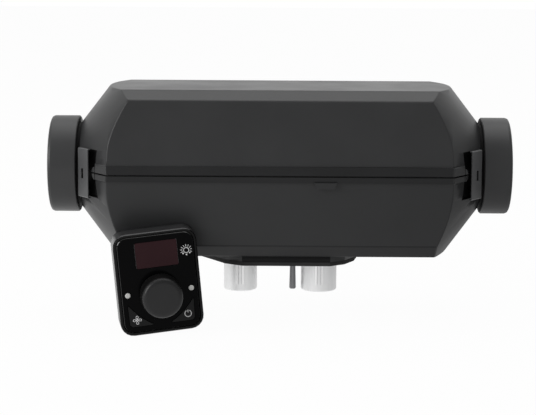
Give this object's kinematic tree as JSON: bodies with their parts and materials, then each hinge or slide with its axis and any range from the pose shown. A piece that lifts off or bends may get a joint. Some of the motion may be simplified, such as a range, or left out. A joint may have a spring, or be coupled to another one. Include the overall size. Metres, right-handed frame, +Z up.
{
  "type": "diesel air heater",
  "caption": "Compact vehicle diesel air heater: clamshell body with duct collars at both ends, base pipes, and a small rotary display controller.",
  "frame": {"origin": "middle of the base gasket's underside, between the two pipes, where the heater stands on its mounting plate", "axes": "+X along the duct axis from the inlet collar to the outlet collar, +Z up away from the mounting plate, -Y out of the front with the controller"},
  "size_m": [0.3118, 0.147, 0.1579],
  "materials": {
    "shell": "satin",
    "collar": "satin",
    "black_plastic": "satin",
    "gloss_black": "gloss",
    "display_glass": "gloss",
    "white_plastic": "satin",
    "board": "satin",
    "rubber": "matte",
    "bright_pipe": "polished",
    "casting": "cast",
    "steel": "satin",
    "dark_steel": "satin"
  },
  "bodies": {
    "heater": {"upper_shell": "shell", "lower_shell": "shell", "inlet_collar": "collar", "outlet_collar": "collar", "inlet_grille": "black_plastic", "outlet_guard": "black_plastic", "base_gasket": "rubber", "intake_spigot": "bright_pipe", "exhaust_spigot": "bright_pipe", "fuel_spigot": "dark_steel", "heat_exchanger": "casting", "burner_tube": "dark_steel", "burner_gasket": "rubber", "glow_plug": "steel", "blower_housing": "casting", "motor_housing": "dark_steel", "control_unit": "black_plastic", "overheat_sensor": "steel", "sensor_clip": "steel", "cable_grommet": "rubber", "blower_screw_1": "steel", "blower_screw_2": "steel", "blower_screw_3": "steel", "blower_screw_4": "steel"},
    "rotor": {"motor_shaft": "steel", "hot_air_fan": "black_plastic", "combustion_impeller": "black_plastic"},
    "clip_front_left": {"clip_front_left": "dark_steel"},
    "clip_front_right": {"clip_front_right": "dark_steel"},
    "clip_rear_left": {"clip_rear_left": "dark_steel"},
    "clip_rear_right": {"clip_rear_right": "dark_steel"},
    "controller": {"controller_case": "black_plastic", "controller_fascia": "gloss_black", "controller_back_cover": "black_plastic", "controller_socket": "black_plastic", "controller_screw_1": "steel", "controller_screw_2": "steel", "controller_screw_3": "steel", "controller_screw_4": "steel", "display_window": "display_glass", "display_module": "dark_steel", "circuit_board": "board", "encoder_body": "steel", "fan_switch": "dark_steel", "power_switch": "dark_steel", "indicator_left": "white_plastic", "indicator_right": "white_plastic"},
    "knob": {"control_knob": "black_plastic", "encoder_shaft": "steel"},
    "fan_button": {"fan_button": "black_plastic"},
    "power_button": {"power_button": "black_plastic"}
  },
  "joints": [
    {"name": "rotor_spin", "type": "hinge", "parent": "heater", "child": "rotor", "pos_m": [-0.08, 0, 0.0632], "axis": [1, 0, 0], "continuous": true},
    {"name": "clip_front_left_release", "type": "hinge", "parent": "heater", "child": "clip_front_left", "pos_m": [-0.1295, -0.03598, 0.0776], "axis": [-0.6097, 0.7926, 0], "range_deg": [0, 60]},
    {"name": "clip_front_right_release", "type": "hinge", "parent": "heater", "child": "clip_front_right", "pos_m": [0.1295, -0.03598, 0.0776], "axis": [-0.6097, -0.7926, 0], "range_deg": [0, 60]},
    {"name": "clip_rear_left_release", "type": "hinge", "parent": "heater", "child": "clip_rear_left", "pos_m": [-0.1295, 0.03598, 0.0776], "axis": [0.6097, 0.7926, 0], "range_deg": [0, 60]},
    {"name": "clip_rear_right_release", "type": "hinge", "parent": "heater", "child": "clip_rear_right", "pos_m": [0.1295, 0.03598, 0.0776], "axis": [0.6097, -0.7926, 0], "range_deg": [0, 60]},
    {"name": "controller_lift", "type": "slide", "parent": "heater", "child": "controller", "axis": [0, -0.5, 0.866], "range_m": [0, 0.15]},
    {"name": "knob_turn", "type": "hinge", "parent": "controller", "child": "knob", "pos_m": [-0.07728, -0.07228, -0.01247], "axis": [0.1822, -0.9831, -0.0174], "continuous": true},
    {"name": "fan_button_press", "type": "slide", "parent": "controller", "child": "fan_button", "axis": [-0.1822, 0.9831, 0.0174], "range_m": [0, 0.0005], "stiffness_N_per_m": 1500},
    {"name": "power_button_press", "type": "slide", "parent": "controller", "child": "power_button", "axis": [-0.1822, 0.9831, 0.0174], "range_m": [0, 0.0005], "stiffness_N_per_m": 1500}
  ]
}
